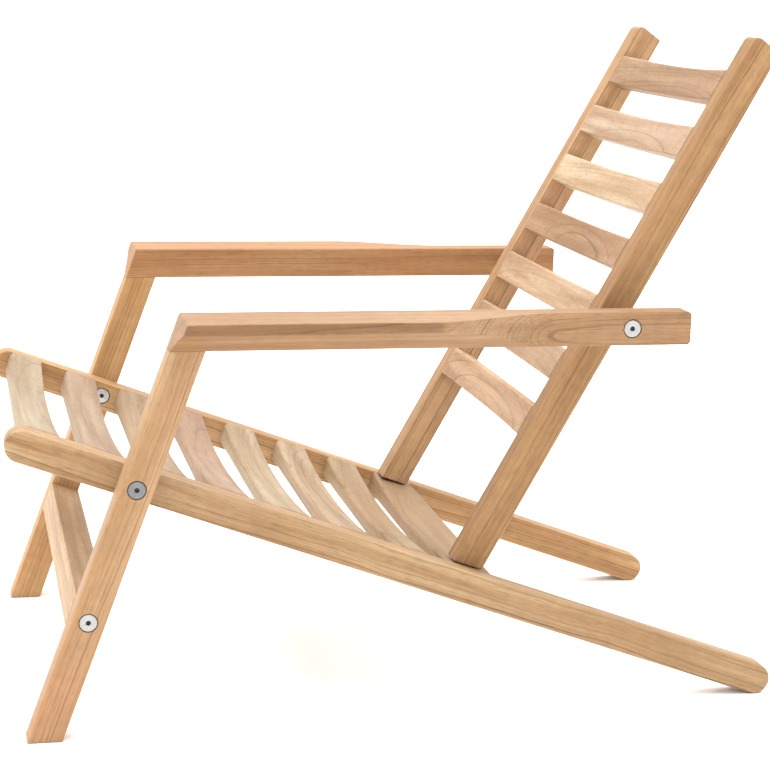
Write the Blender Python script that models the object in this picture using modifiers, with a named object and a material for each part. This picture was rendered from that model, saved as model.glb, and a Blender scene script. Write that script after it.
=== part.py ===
# Folding deck chair: slatted teak bars on stainless pivots, front of the chair towards -Y,
# the sitter's left side at +X, origin on the floor under the middle of the chair's outline.
#
# Three groups of pieces turn against each other:
#   leg frame   legs, arms and a low stretcher, all fixed together
#   seat frame  two rails and eight slats, turning on the seat pivots in the legs
#   backrest    two stiles and seven slats, turning on the back pivots at the arms' rear ends

import bmesh
import bpy
from math import asin, cos, pi, radians, sin, sqrt, tan
from mathutils import Matrix, Vector

# ---- driving dimensions, in metres and radians

GAP = 0.0003                 # clearance left between touching pieces
SOFT = 0.002                 # width of the eased edges of the timber
CUT = 0.002                  # how far a cutter runs past the face it starts from

LEG_LEAN = radians(19.6)     # legs lean back from the vertical
LEG_WIDTH = 0.041            # across the leg, seen from the side
LEG_THICK = 0.034
LEG_OUTER = 0.308            # centre plane to the leg's outer face
SEAT_PIVOT_RISE = 0.332      # floor to seat pivot, along the leg
STRETCHER_RISE = 0.159       # floor to stretcher bolt, along the leg
STRETCHER_HEIGHT = 0.040     # along the leg

ARM_TOP = 0.522
ARM_DEPTH = 0.0415
ARM_OVERHANG = 0.054         # how far the wide part stands out past the leg
ARM_BAND = 0.0135            # upright outer band above the cove
COVE_SAG = 0.0030            # hollow of the cove under the wide part
TAPER_START = 0.480          # toe of the leg to where the arm starts to narrow
TAPER_LENGTH = 0.170
BACK_PIVOT_RUN = 0.745       # toe of the leg to the back pivot
ARM_REAR = 0.0765            # back pivot to the arm's rear end
ARM_CORNER = 0.005           # rounding of the arm's rear corners

RAIL_DEPTH = 0.040
RAIL_THICK = 0.034
RAIL_NOSE = 0.0185           # first slat's front edge to the rail's front tip
RAIL_REAR = 0.892            # seat pivot to the rail's rear tip
PIVOT_SPACE = 0.0025         # leg to rail, filled by a washer

SEAT_SLATS_AHEAD = 2         # slats in front of the seat pivot, which lies in a gap
SEAT_SLATS_BEHIND = 5        # even slats behind it
SEAT_SLAT_WIDTH = 0.046
SEAT_GAP_SHIFT = 0.0025      # middle of that gap behind the pivot
LAST_SLAT_WIDTH = 0.058      # the slat that the backrest stands on
LAST_SLAT_LEAD = 0.0046      # its front edge ahead of the stile's foot
LAST_SLAT_GAP = 0.0295       # between it and the slat in front

SLAT_THICK = 0.028
SLAT_DISH = 0.0115           # hollow worked into a slat's face at mid-length
TENON_INSET = 0.008          # shoulder all round a slat's tenon
TENON_LENGTH = 0.013

STILE_LEAN = radians(28.8)
STILE_WIDTH = 0.040
STILE_THICK = 0.034
STILE_SPACE = 0.0015         # rail's inner face to the stile's outer face
STILE_ABOVE = 0.3935         # back pivot to the top of the stile
STILE_CREST = 0.0035         # front of the stile's top edge above its back
STILE_FORWARD = 0.0045       # back pivot to the stile's centre line
STILE_CORNER = 0.009         # rounding of the stile's front top corner
FOOT_SPACE = 0.001           # stile's foot above the slat that it stands on

BACK_SLATS = 7
BACK_SLAT_WIDTH = 0.0435
BACK_SLAT_PITCH = 0.0823
BACK_SLAT_TOP = 0.3470       # back pivot to the first slat's top edge

HEAD_RADIUS = 0.0109
HEAD_THICK = 0.0030
HEAD_SUNK = 0.0004           # head below the timber's face
HEAD_EASE = 0.0005
BORE_MARGIN = 0.0011         # counterbore radius beyond the head
SOCKET_RADIUS = 0.0034       # hexagon, centre to corner
SOCKET_DEPTH = 0.0026
BOLT_RADIUS = 0.0045
SLEEVE_RADIUS = 0.0065
SLEEVE_FLOOR = 0.012         # solid end of the sleeve under its head
SEAT_BOLT_LENGTH = 0.048
STRETCHER_BOLT_LENGTH = 0.078
BARREL_RADIUS = 0.006
BARREL_LENGTH = 0.022
BARREL_RUN = 0.030           # stretcher's end to its barrel nut
SPACER_RADIUS = 0.008
INSERT_RADIUS = 0.006
INSERT_COVER = 0.005         # timber left between the insert and a slat's tenon
BACK_BOLT_RADIUS = 0.004
DOWEL_RADIUS = 0.005
DOWEL_LENGTH = 0.050
DOWEL_SPACING = 0.018

ARC_STEPS = 24               # facets in half a turn of timber
TURN_STEPS = 20              # facets round a turned piece
SLAT_STEPS = 10              # facets along a dished slat
TAPER_STEPS = 14

# ---- places worked out from them

TOE_TO_HEEL = LEG_WIDTH / cos(LEG_LEAN)
LEG_INNER = LEG_OUTER - LEG_THICK
ARM_UNDER = ARM_TOP - ARM_DEPTH
ARM_OUTER = LEG_OUTER + ARM_OVERHANG
RAIL_OUTER = LEG_INNER - PIVOT_SPACE
RAIL_INNER = RAIL_OUTER - RAIL_THICK
RAIL_ROUND = RAIL_DEPTH / 2
STILE_OUTER = RAIL_INNER - STILE_SPACE
STILE_INNER = STILE_OUTER - STILE_THICK
COUNTERBORE = HEAD_SUNK + HEAD_THICK + GAP
INSERT_LENGTH = STILE_THICK - TENON_LENGTH - INSERT_COVER


def on_leg(rise):
    """Point on the leg's centre line, as (distance behind the toe, height)."""
    return Vector((TOE_TO_HEEL / 2 + rise * sin(LEG_LEAN), rise * cos(LEG_LEAN)))


SEAT_PIVOT_RAW = on_leg(SEAT_PIVOT_RISE)
RAIL_SLOPE = asin((SEAT_PIVOT_RAW.y - RAIL_ROUND) / (RAIL_REAR - RAIL_ROUND))

# the back pivot seen from the seat pivot, along and square to the rail
RUN = BACK_PIVOT_RUN - SEAT_PIVOT_RAW.x
CLIMB = ARM_TOP - ARM_DEPTH / 2 - SEAT_PIVOT_RAW.y
PIVOT_ALONG = RUN * cos(RAIL_SLOPE) - CLIMB * sin(RAIL_SLOPE)
PIVOT_ABOVE = RUN * sin(RAIL_SLOPE) + CLIMB * cos(RAIL_SLOPE)
FOOT_DROP = PIVOT_ABOVE - RAIL_ROUND - FOOT_SPACE
FOOT_ANGLE = STILE_LEAN - RAIL_SLOPE
FOOT_FRONT = (PIVOT_ALONG - FOOT_DROP * tan(FOOT_ANGLE)
              - (STILE_FORWARD + STILE_WIDTH / 2) / cos(FOOT_ANGLE))

# seat slats along the rail from the seat pivot: the even ones fill the length that the last leaves
LAST_SLAT_START = FOOT_FRONT - LAST_SLAT_LEAD
SEAT_SLAT_PITCH = ((LAST_SLAT_START - LAST_SLAT_GAP - SEAT_GAP_SHIFT - SEAT_SLAT_WIDTH / 2)
                   / (SEAT_SLATS_BEHIND - 0.5))
FIRST_SLAT_START = (SEAT_GAP_SHIFT - SEAT_SLAT_PITCH * (SEAT_SLATS_AHEAD - 0.5)
                    - SEAT_SLAT_WIDTH / 2)
RAIL_FRONT = RAIL_NOSE - FIRST_SLAT_START
FRONT_TIP = SEAT_PIVOT_RAW.x - (RAIL_FRONT - RAIL_ROUND) * cos(RAIL_SLOPE) - RAIL_ROUND
REAR_TIP = SEAT_PIVOT_RAW.x + (RAIL_REAR - RAIL_ROUND) * cos(RAIL_SLOPE) + RAIL_ROUND
TOE = -(FRONT_TIP + REAR_TIP) / 2

SEAT_PIVOT = Vector((0, TOE + SEAT_PIVOT_RAW.x, SEAT_PIVOT_RAW.y))
BACK_PIVOT = Vector((0, TOE + BACK_PIVOT_RUN, ARM_TOP - ARM_DEPTH / 2))


# ---- scene and collections

for leftover in list(bpy.data.objects):
    bpy.data.objects.remove(leftover, do_unlink=True)

chair = bpy.data.collections.new("folding_deck_chair")
cutters = bpy.data.collections.new("cutters")
bpy.context.scene.collection.children.link(chair)
bpy.context.scene.collection.children.link(cutters)


def make_frame(name, place, turn):
    """Empty whose local axes a group of pieces is modelled in."""
    empty = bpy.data.objects.new(name, None)
    empty.location = place
    empty.rotation_euler = (turn, 0, 0)
    empty.empty_display_size = 0.05
    chair.objects.link(empty)
    return empty


leg_frame = make_frame("leg_frame_axis", (0, TOE, 0), 0)
seat_frame = make_frame("seat_frame_axis", SEAT_PIVOT, -RAIL_SLOPE)
backrest = make_frame("backrest_axis", BACK_PIVOT, -STILE_LEAN)


# ---- materials

def make_material(name, colour, roughness, metallic):
    material = bpy.data.materials.new(name)
    material.use_nodes = True
    shader = material.node_tree.nodes["Principled BSDF"]
    shader.inputs["Base Color"].default_value = (*colour, 1)
    shader.inputs["Roughness"].default_value = roughness
    shader.inputs["Metallic"].default_value = metallic
    material.diffuse_color = (*colour, 1)
    return material


def teak(name, tone):
    """Teak, from 0 for the warm faces of the bars to 1 for the pale slats."""
    warm = Vector((0.58, 0.33, 0.15))
    pale = Vector((0.70, 0.49, 0.32))
    return make_material(name + "_teak", warm.lerp(pale, tone), 0.62, 0)


def stainless(name):
    return make_material(name + "_stainless", (0.66, 0.66, 0.65), 0.30, 1)


# ---- shaping

def add_piece(name, bm, material, frame, place=(0, 0, 0), turn=(0, 0, 0)):
    """Finish a piece from its bmesh, in the local axes of its frame."""
    mesh = bpy.data.meshes.new(name)
    bm.to_mesh(mesh)
    bm.free()
    mesh.materials.append(material)
    piece = bpy.data.objects.new(name, mesh)
    piece.parent = frame
    piece.location = place
    piece.rotation_euler = turn
    chair.objects.link(piece)
    return piece


def add_cutter(name, bm, frame, place=(0, 0, 0), turn=(0, 0, 0)):
    mesh = bpy.data.meshes.new(name)
    bm.to_mesh(mesh)
    bm.free()
    cutter = bpy.data.objects.new(name, mesh)
    cutter.parent = frame
    cutter.location = place
    cutter.rotation_euler = turn
    cutter.display_type = "WIRE"
    cutter.hide_render = True
    cutters.objects.link(cutter)
    return cutter


def cut(piece, cutter):
    boolean = piece.modifiers.new(cutter.name, "BOOLEAN")
    boolean.operation = "DIFFERENCE"
    boolean.object = cutter


def ease(bm, stays_sharp=None):
    """Round the sharp edges, before anything is cut into the piece."""
    edges = [edge for edge in bm.edges if edge.calc_face_angle(0) > radians(35)
             and not (stays_sharp and all(stays_sharp(vert.co) for vert in edge.verts))]
    bmesh.ops.bevel(bm, geom=edges, offset=SOFT, segments=2, profile=0.5, affect="EDGES")
    return bm


def prism(outline, low, high):
    """Outline of (y, z) points, solid between two x planes."""
    bm = bmesh.new()
    face = bm.faces.new([bm.verts.new((low, y, z)) for y, z in outline])
    grown = bmesh.ops.extrude_face_region(bm, geom=[face])
    moved = [item for item in grown["geom"] if isinstance(item, bmesh.types.BMVert)]
    bmesh.ops.translate(bm, vec=(high - low, 0, 0), verts=moved)
    bmesh.ops.recalc_face_normals(bm, faces=bm.faces)
    return bm


def side_span(side, inner, outer):
    """The x range of a piece on the left (+1) or right (-1), low value first."""
    return (inner, outer) if side > 0 else (-outer, -inner)


def mirror_to(side, bm):
    if side < 0:
        bmesh.ops.scale(bm, vec=(-1, 1, 1), verts=bm.verts)
        bmesh.ops.reverse_faces(bm, faces=bm.faces)
    return bm


def add_block(bm, centre, size):
    place = Matrix.Translation(centre) @ Matrix.Diagonal((*size, 1))
    bmesh.ops.create_cube(bm, size=1, matrix=place)


def add_mortise(bm, face_x, side, middle, slat_size):
    """Socket for a slat's tenon, cut outwards from the bar's inner face."""
    deep = TENON_LENGTH + CUT
    across = [size - 2 * TENON_INSET + 2 * GAP for size in slat_size]
    add_block(bm, (face_x + side * (deep / 2 - CUT), *middle), (deep, *across))


def add_rod(bm, start, end, radius, steps=TURN_STEPS):
    """Round bar between two points."""
    start = Vector(start)
    axis = Vector(end) - start
    turn = axis.to_track_quat("Z", "Y").to_matrix().to_4x4()
    place = Matrix.Translation(start + axis / 2) @ turn
    bmesh.ops.create_cone(bm, cap_ends=True, segments=steps, radius1=radius,
                          radius2=radius, depth=axis.length, matrix=place)


def arc(centre, radius, start, end, steps):
    """Points round a circle in the side view, angles from +y towards +z."""
    angles = [start + (end - start) * step / steps for step in range(steps + 1)]
    return [(centre[0] + radius * cos(a), centre[1] + radius * sin(a)) for a in angles]


def turned(name, profile, material, frame, place, side, closed=False):
    """Piece turned about an axis along x; its profile's height runs outwards."""
    mesh = bpy.data.meshes.new(name)
    points = [(radius, 0, height) for radius, height in profile]
    edges = [(n, n + 1) for n in range(len(points) - 1)]
    if closed:
        edges.append((len(points) - 1, 0))
    mesh.from_pydata(points, edges, [])
    mesh.materials.append(material)
    piece = bpy.data.objects.new(name, mesh)
    piece.parent = frame
    piece.location = place
    piece.rotation_euler = (0, side * pi / 2, 0)
    screw = piece.modifiers.new("turning", "SCREW")
    screw.axis = "Z"
    screw.angle = 2 * pi
    screw.steps = TURN_STEPS
    screw.render_steps = TURN_STEPS
    screw.use_merge_vertices = True
    screw.merge_threshold = 0.00001
    chair.objects.link(piece)
    return piece


def cut_socket(piece, top):
    """Hexagon socket in a turned head whose top is at the given height."""
    bm = bmesh.new()
    add_rod(bm, (0, 0, top - SOCKET_DEPTH), (0, 0, top + CUT), SOCKET_RADIUS, steps=6)
    cutter = add_cutter(piece.name + "_socket", bm, piece.parent, piece.location,
                        piece.rotation_euler)
    cut(piece, cutter)


def head_profile(length, radius):
    """Flat head with an eased rim on a plain shank, from the timber's face inwards."""
    top = -HEAD_SUNK
    under = top - HEAD_THICK
    return [(0, top), (HEAD_RADIUS - HEAD_EASE, top), (HEAD_RADIUS, top - HEAD_EASE),
            (HEAD_RADIUS, under), (radius, under), (radius, under - length),
            (0, under - length)]


def name_side(side):
    return "left" if side > 0 else "right"


SIDES = (1, -1)


# ---- leg frame: legs, arms, stretcher and their fixings

def make_leg(side):
    height = ARM_UNDER - GAP
    shift = height * tan(LEG_LEAN)
    outline = [(0, 0), (TOE_TO_HEEL, 0), (TOE_TO_HEEL + shift, height), (shift, height)]
    low, high = side_span(side, LEG_INNER, LEG_OUTER)
    name = "leg_" + name_side(side)
    bm = ease(prism(outline, low, high), lambda co: co.z > height - GAP)
    leg = add_piece(name, bm, teak(name, 0.0), leg_frame)

    bm = bmesh.new()
    for rise, radius in ((SEAT_PIVOT_RISE, SLEEVE_RADIUS), (STRETCHER_RISE, BOLT_RADIUS)):
        y, z = on_leg(rise)
        inside = side * (LEG_INNER - CUT)
        floor = side * (LEG_OUTER - COUNTERBORE)
        past = side * (LEG_OUTER + CUT)
        add_rod(bm, (inside, y, z), (floor + side * GAP, y, z), radius + GAP)
        bores = bmesh.new()
        add_rod(bores, (floor, y, z), (past, y, z), HEAD_RADIUS + BORE_MARGIN)
        cutter = add_cutter(f"{name}_counterbore_{rise:.2f}", bores, leg_frame)
        cut(leg, cutter)
    cut(leg, add_cutter(name + "_bolt_holes", bm, leg_frame))
    cut(leg, dowel_holes(name, side))
    return leg


def dowel_places():
    """Middle of each dowel, at the joint between leg and arm."""
    middle = TOE_TO_HEEL / 2 + ARM_UNDER * tan(LEG_LEAN)
    return [middle - DOWEL_SPACING / 2, middle + DOWEL_SPACING / 2]


def dowel_ends(y, length):
    along = Vector((0, sin(LEG_LEAN), cos(LEG_LEAN))) * length / 2
    middle = Vector(((LEG_INNER + LEG_OUTER) / 2, y, ARM_UNDER))
    return middle - along, middle + along


def dowel_holes(name, side):
    bm = bmesh.new()
    for y in dowel_places():
        start, end = dowel_ends(y, DOWEL_LENGTH + 2 * GAP)
        add_rod(bm, start, end, DOWEL_RADIUS + GAP, steps=12)
    return add_cutter(name + "_dowel_holes", mirror_to(side, bm), leg_frame)


def make_dowels(side):
    for number, y in enumerate(dowel_places(), start=1):
        bm = bmesh.new()
        add_rod(bm, *dowel_ends(y, DOWEL_LENGTH), DOWEL_RADIUS, steps=12)
        name = f"arm_dowel_{name_side(side)}_{number}"
        add_piece(name, mirror_to(side, bm), teak(name, 0.6), leg_frame)


def cove_points():
    """Hollow from the foot of the arm's outer band down to the leg's outer face."""
    top = Vector((ARM_OUTER, ARM_TOP - ARM_BAND))
    foot = Vector((LEG_OUTER, ARM_UNDER))
    chord = foot - top
    inwards = Vector((chord.y, -chord.x)).normalized()
    points = []
    for step in range(1, 6):
        share = step / 6
        hollow = COVE_SAG * sin(pi * share)
        points.append(top + chord * share + inwards * hollow)
    return [tuple(top), *[tuple(point) for point in points], tuple(foot)]


def arm_outer_edge(share):
    """How far out the arm's side is, along its taper from 0 to 1."""
    return LEG_OUTER + ARM_OVERHANG * (1 + cos(pi * share)) / 2


def make_arm(side):
    rear = BACK_PIVOT_RUN + ARM_REAR
    section = [(LEG_INNER, ARM_UNDER), (LEG_INNER, ARM_TOP), (ARM_OUTER, ARM_TOP)]
    section += cove_points()
    bm = bmesh.new()
    face = bm.faces.new([bm.verts.new((x, 0, z)) for x, z in section])
    grown = bmesh.ops.extrude_face_region(bm, geom=[face])
    moved = [item for item in grown["geom"] if isinstance(item, bmesh.types.BMVert)]
    bmesh.ops.translate(bm, vec=(0, rear, 0), verts=moved)
    bmesh.ops.recalc_face_normals(bm, faces=bm.faces)
    cut_front = bmesh.ops.bisect_plane(bm, geom=bm.verts[:] + bm.edges[:] + bm.faces[:],
                                       dist=0.000001, plane_co=(0, 0, 0),
                                       plane_no=(0, -cos(LEG_LEAN), sin(LEG_LEAN)),
                                       clear_outer=True)
    rim = [item for item in cut_front["geom_cut"] if isinstance(item, bmesh.types.BMEdge)]
    bmesh.ops.edgeloop_fill(bm, edges=rim)
    bmesh.ops.recalc_face_normals(bm, faces=bm.faces)

    ease(bm, lambda co: co.z < ARM_UNDER + GAP)
    name = "arm_" + name_side(side)
    arm = add_piece(name, mirror_to(side, bm), teak(name, 0.15), leg_frame)

    past = ARM_OUTER + CUT
    edge = [(TAPER_START + TAPER_LENGTH * step / TAPER_STEPS, arm_outer_edge(step / TAPER_STEPS))
            for step in range(TAPER_STEPS + 1)]
    plan = [(TAPER_START - CUT, past), (TAPER_START - CUT, ARM_OUTER + GAP / 10), *edge,
            (rear + CUT, LEG_OUTER), (rear + CUT, past)]
    bm = bmesh.new()
    face = bm.faces.new([bm.verts.new((x, y, ARM_UNDER - CUT)) for y, x in plan])
    grown = bmesh.ops.extrude_face_region(bm, geom=[face])
    moved = [item for item in grown["geom"] if isinstance(item, bmesh.types.BMVert)]
    bmesh.ops.translate(bm, vec=(0, 0, ARM_DEPTH + 2 * CUT), verts=moved)
    bmesh.ops.recalc_face_normals(bm, faces=bm.faces)
    cut(arm, add_cutter(name + "_taper", mirror_to(side, bm), leg_frame))

    middle = ARM_TOP - ARM_DEPTH / 2
    bm = bmesh.new()
    add_rod(bm, (side * (LEG_INNER - CUT), BACK_PIVOT_RUN, middle),
            (side * (LEG_OUTER - COUNTERBORE + GAP), BACK_PIVOT_RUN, middle),
            BACK_BOLT_RADIUS + GAP)
    cut(arm, add_cutter(name + "_pivot_hole", bm, leg_frame))
    bm = bmesh.new()
    add_rod(bm, (side * (LEG_OUTER - COUNTERBORE), BACK_PIVOT_RUN, middle),
            (side * (LEG_OUTER + CUT), BACK_PIVOT_RUN, middle), HEAD_RADIUS + BORE_MARGIN)
    cut(arm, add_cutter(name + "_counterbore", bm, leg_frame))
    cut(arm, dowel_holes(name, side))
    cut(arm, rear_rounding(name, side))


def rear_rounding(name, side):
    """Cutter that rounds the arm's two rear corners."""
    rear = BACK_PIVOT_RUN + ARM_REAR
    centre_y = rear - ARM_CORNER
    upper = arc((centre_y, ARM_TOP - ARM_CORNER), ARM_CORNER, 0, pi / 2, 4)
    lower = arc((centre_y, ARM_UNDER + ARM_CORNER), ARM_CORNER, -pi / 2, 0, 4)
    outline = [(centre_y, ARM_UNDER - CUT), *lower, *upper, (centre_y, ARM_TOP + CUT),
               (rear + CUT, ARM_TOP + CUT), (rear + CUT, ARM_UNDER - CUT)]
    low, high = side_span(side, LEG_INNER - CUT, LEG_OUTER + CUT)
    return add_cutter(name + "_rear_rounding", prism(outline, low, high), leg_frame)


def stretcher_frame_point(along, back):
    """Point by the stretcher bolt, along the leg and square to it, from the toe."""
    y, z = on_leg(STRETCHER_RISE)
    return (y + along * sin(LEG_LEAN) + back * cos(LEG_LEAN),
            z + along * cos(LEG_LEAN) - back * sin(LEG_LEAN))


def make_stretcher():
    half = STRETCHER_HEIGHT / 2
    deep = LEG_WIDTH / 2
    outline = [stretcher_frame_point(-half, -deep), stretcher_frame_point(-half, deep),
               stretcher_frame_point(half, deep), stretcher_frame_point(half, -deep)]
    reach = LEG_INNER - GAP
    bm = ease(prism(outline, -reach, reach), lambda co: abs(co.x) > reach - GAP)
    stretcher = add_piece("leg_stretcher", bm, teak("leg_stretcher", 0.5), leg_frame)
    y, z = on_leg(STRETCHER_RISE)
    bolt_end = LEG_OUTER - HEAD_SUNK - HEAD_THICK - STRETCHER_BOLT_LENGTH
    bolts = bmesh.new()
    nuts = bmesh.new()
    for side in SIDES:
        add_rod(bolts, (side * (bolt_end - GAP), y, z), (side * (reach + CUT), y, z),
                BOLT_RADIUS + GAP)
        start, end = barrel_ends(side, half + CUT)
        add_rod(nuts, start, end, BARREL_RADIUS + GAP)
    cut(stretcher, add_cutter("stretcher_nut_holes", nuts, leg_frame))
    cut(stretcher, add_cutter("stretcher_bolt_holes", bolts, leg_frame))


def barrel_ends(side, below):
    """Top and bottom of a barrel nut, which stands along the leg's line."""
    x = side * (LEG_INNER - BARREL_RUN)
    top = stretcher_frame_point(BARREL_LENGTH / 2, 0)
    foot = stretcher_frame_point(-below, 0)
    return (x, *foot), (x, *top)


def make_stretcher_fixings(side):
    name = "stretcher_bolt_" + name_side(side)
    place = (side * LEG_OUTER, *on_leg(STRETCHER_RISE))
    profile = head_profile(STRETCHER_BOLT_LENGTH, BOLT_RADIUS)
    bolt = turned(name, profile, stainless(name), leg_frame, place, side)
    cut_socket(bolt, -HEAD_SUNK)

    name = "stretcher_nut_" + name_side(side)
    bm = bmesh.new()
    add_rod(bm, *barrel_ends(side, BARREL_LENGTH / 2), BARREL_RADIUS)
    inset = Matrix.Translation(
        Vector((0, *stretcher_frame_point(-GAP, 0))) - Vector((0, *stretcher_frame_point(0, 0))))
    bmesh.ops.transform(bm, matrix=inset, verts=bm.verts)
    nut = add_piece(name, bm, stainless(name), leg_frame)
    bm = bmesh.new()
    y, z = on_leg(STRETCHER_RISE)
    x = side * (LEG_INNER - BARREL_RUN)
    add_rod(bm, (x - BARREL_RADIUS - CUT, y, z), (x + BARREL_RADIUS + CUT, y, z),
            BOLT_RADIUS + GAP)
    cut(nut, add_cutter(name + "_hole", bm, leg_frame))


def make_seat_pivot(side):
    place = (side * LEG_OUTER, *on_leg(SEAT_PIVOT_RISE))
    name = "seat_pivot_bolt_" + name_side(side)
    profile = head_profile(SEAT_BOLT_LENGTH, BOLT_RADIUS)
    bolt = turned(name, profile, stainless(name), leg_frame, place, side)
    cut_socket(bolt, -HEAD_SUNK)

    name = "seat_pivot_sleeve_" + name_side(side)
    span = LEG_OUTER - RAIL_INNER
    length = span - 2 * (HEAD_SUNK + HEAD_THICK) - 2 * GAP
    profile = head_profile(length, SLEEVE_RADIUS)[:-1]
    end = profile[-1][1]
    floor = -HEAD_SUNK - SLEEVE_FLOOR
    bore = BOLT_RADIUS + GAP
    profile += [(bore, end), (bore, floor), (0, floor)]
    place = (side * RAIL_INNER, *on_leg(SEAT_PIVOT_RISE))
    sleeve = turned(name, profile, stainless(name), leg_frame, place, -side)
    cut_socket(sleeve, -HEAD_SUNK)

    name = "seat_pivot_washer_" + name_side(side)
    inner = SLEEVE_RADIUS + GAP
    outer = HEAD_RADIUS + BORE_MARGIN
    half = PIVOT_SPACE / 2 - GAP
    profile = [(outer, half), (outer, -half), (inner, -half), (inner, half)]
    place = (side * (RAIL_OUTER + PIVOT_SPACE / 2), *on_leg(SEAT_PIVOT_RISE))
    turned(name, profile, stainless(name), leg_frame, place, side, closed=True)


# ---- seat frame: rails and slats, in the seat pivot's axes (y back along the rail, z square to it)

def seat_slat_spans():
    """Front edge and width of each seat slat, along the rail from the pivot."""
    spans = [(FIRST_SLAT_START + SEAT_SLAT_PITCH * number, SEAT_SLAT_WIDTH)
             for number in range(SEAT_SLATS_AHEAD + SEAT_SLATS_BEHIND)]
    return spans + [(LAST_SLAT_START, LAST_SLAT_WIDTH)]


def make_rail(side):
    front = arc((-(RAIL_FRONT - RAIL_ROUND), 0), RAIL_ROUND, pi / 2, 3 * pi / 2, ARC_STEPS)
    rear = arc((RAIL_REAR - RAIL_ROUND, 0), RAIL_ROUND, -pi / 2, pi / 2, ARC_STEPS)
    low, high = side_span(side, RAIL_INNER, RAIL_OUTER)
    name = "seat_rail_" + name_side(side)
    bm = ease(prism(front + rear, low, high))
    rail = add_piece(name, bm, teak(name, 0.2), seat_frame)

    bm = bmesh.new()
    for start, width in seat_slat_spans():
        middle = (start + width / 2, RAIL_ROUND - SLAT_THICK / 2)
        add_mortise(bm, side * RAIL_INNER, side, middle, (width, SLAT_THICK))
    cut(rail, add_cutter(name + "_mortises", bm, seat_frame))

    bm = bmesh.new()
    add_rod(bm, (side * (RAIL_INNER + COUNTERBORE - GAP), 0, 0),
            (side * (RAIL_OUTER + CUT), 0, 0), SLEEVE_RADIUS + GAP)
    cut(rail, add_cutter(name + "_pivot_hole", bm, seat_frame))
    bm = bmesh.new()
    add_rod(bm, (side * (RAIL_INNER - CUT), 0, 0), (side * (RAIL_INNER + COUNTERBORE), 0, 0),
            HEAD_RADIUS + BORE_MARGIN)
    cut(rail, add_cutter(name + "_counterbore", bm, seat_frame))


def dished_slat(half_length, width, flat_rear=False):
    """Slat along x with its face at z = 0 and its front edge at y = 0, tenoned at both ends.

    The face is hollowed along an arc; a flat rear edge keeps the hollow to the front.
    """
    bm = bmesh.new()
    add_block(bm, (0, width / 2, -SLAT_THICK / 2), (2 * half_length, width, SLAT_THICK))
    ends = [face for face in bm.faces if abs(face.normal.x) > 0.99]
    bmesh.ops.inset_individual(bm, faces=ends, thickness=TENON_INSET, use_even_offset=True)
    for face in ends:
        reach = TENON_LENGTH if face.normal.x > 0 else -TENON_LENGTH
        grown = bmesh.ops.extrude_face_region(bm, geom=[face])
        moved = [item for item in grown["geom"] if isinstance(item, bmesh.types.BMVert)]
        bmesh.ops.translate(bm, vec=(reach, 0, 0), verts=moved)
    bmesh.ops.delete(bm, geom=ends, context="FACES_ONLY")
    long_edges = [edge for edge in bm.edges if edge.calc_length() > half_length]
    bmesh.ops.bevel(bm, geom=long_edges, offset=SOFT, segments=2, profile=0.5,
                    affect="EDGES")
    long_edges = [edge for edge in bm.edges if edge.calc_length() > half_length]
    bmesh.ops.subdivide_edges(bm, edges=long_edges, cuts=SLAT_STEPS - 1, use_grid_fill=True)
    radius = (half_length ** 2 + SLAT_DISH ** 2) / (2 * SLAT_DISH)
    for vert in bm.verts:
        if vert.co.z > -SLAT_THICK / 2 and abs(vert.co.x) < half_length:
            hollow = sqrt(radius ** 2 - vert.co.x ** 2) - (radius - SLAT_DISH)
            if not (flat_rear and vert.co.y > width / 2):
                vert.co.z -= hollow
    bmesh.ops.recalc_face_normals(bm, faces=bm.faces)
    return bm


def make_seat_slats():
    for number, (start, width) in enumerate(seat_slat_spans(), start=1):
        name = f"seat_slat_{number}"
        last = start == LAST_SLAT_START
        bm = dished_slat(RAIL_INNER - GAP, width, flat_rear=last)
        add_piece(name, bm, teak(name, 1.0), seat_frame, (0, start, RAIL_ROUND))


# ---- backrest: stiles and slats, in the back pivot's axes (z up the stile, y square to it)

STILE_FRONT = -STILE_FORWARD - STILE_WIDTH / 2
STILE_BACK = -STILE_FORWARD + STILE_WIDTH / 2


def foot_height(y):
    """Height of the stile's foot at a depth y, cut parallel to the seat rails."""
    return (y * sin(FOOT_ANGLE) - FOOT_DROP) / cos(FOOT_ANGLE)


def make_stile(side):
    crest = STILE_ABOVE + STILE_CREST
    corner = arc((STILE_FRONT + STILE_CORNER, crest - STILE_CORNER), STILE_CORNER,
                 pi / 2, pi, 5)
    outline = [(STILE_FRONT, foot_height(STILE_FRONT)), (STILE_BACK, foot_height(STILE_BACK)),
               (STILE_BACK, STILE_ABOVE), *corner]
    low, high = side_span(side, STILE_INNER, STILE_OUTER)
    name = "back_stile_" + name_side(side)
    bm = ease(prism(outline, low, high))
    stile = add_piece(name, bm, teak(name, 0.1), backrest)

    bm = bmesh.new()
    for number in range(BACK_SLATS):
        top = BACK_SLAT_TOP - BACK_SLAT_PITCH * number
        middle = (STILE_FRONT + SLAT_THICK / 2, top - BACK_SLAT_WIDTH / 2)
        add_mortise(bm, side * STILE_INNER, side, middle, (SLAT_THICK, BACK_SLAT_WIDTH))
    cut(stile, add_cutter(name + "_mortises", bm, backrest))
    bm = bmesh.new()
    add_rod(bm, (side * (STILE_OUTER - INSERT_LENGTH - 2 * GAP), 0, 0),
            (side * (STILE_OUTER + CUT), 0, 0), INSERT_RADIUS + GAP)
    cut(stile, add_cutter(name + "_insert_hole", bm, backrest))


def make_back_slats():
    for number in range(BACK_SLATS):
        name = f"back_slat_{number + 1}"
        top = BACK_SLAT_TOP - BACK_SLAT_PITCH * number
        bm = dished_slat(STILE_INNER - GAP, BACK_SLAT_WIDTH)
        # the slat's face turns to the front, its front edge to the top
        add_piece(name, bm, teak(name, 0.8), backrest, (0, STILE_FRONT, top), (pi / 2, 0, 0))
        bpy.data.objects[name].rotation_euler = (-pi / 2, 0, pi)


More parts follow.
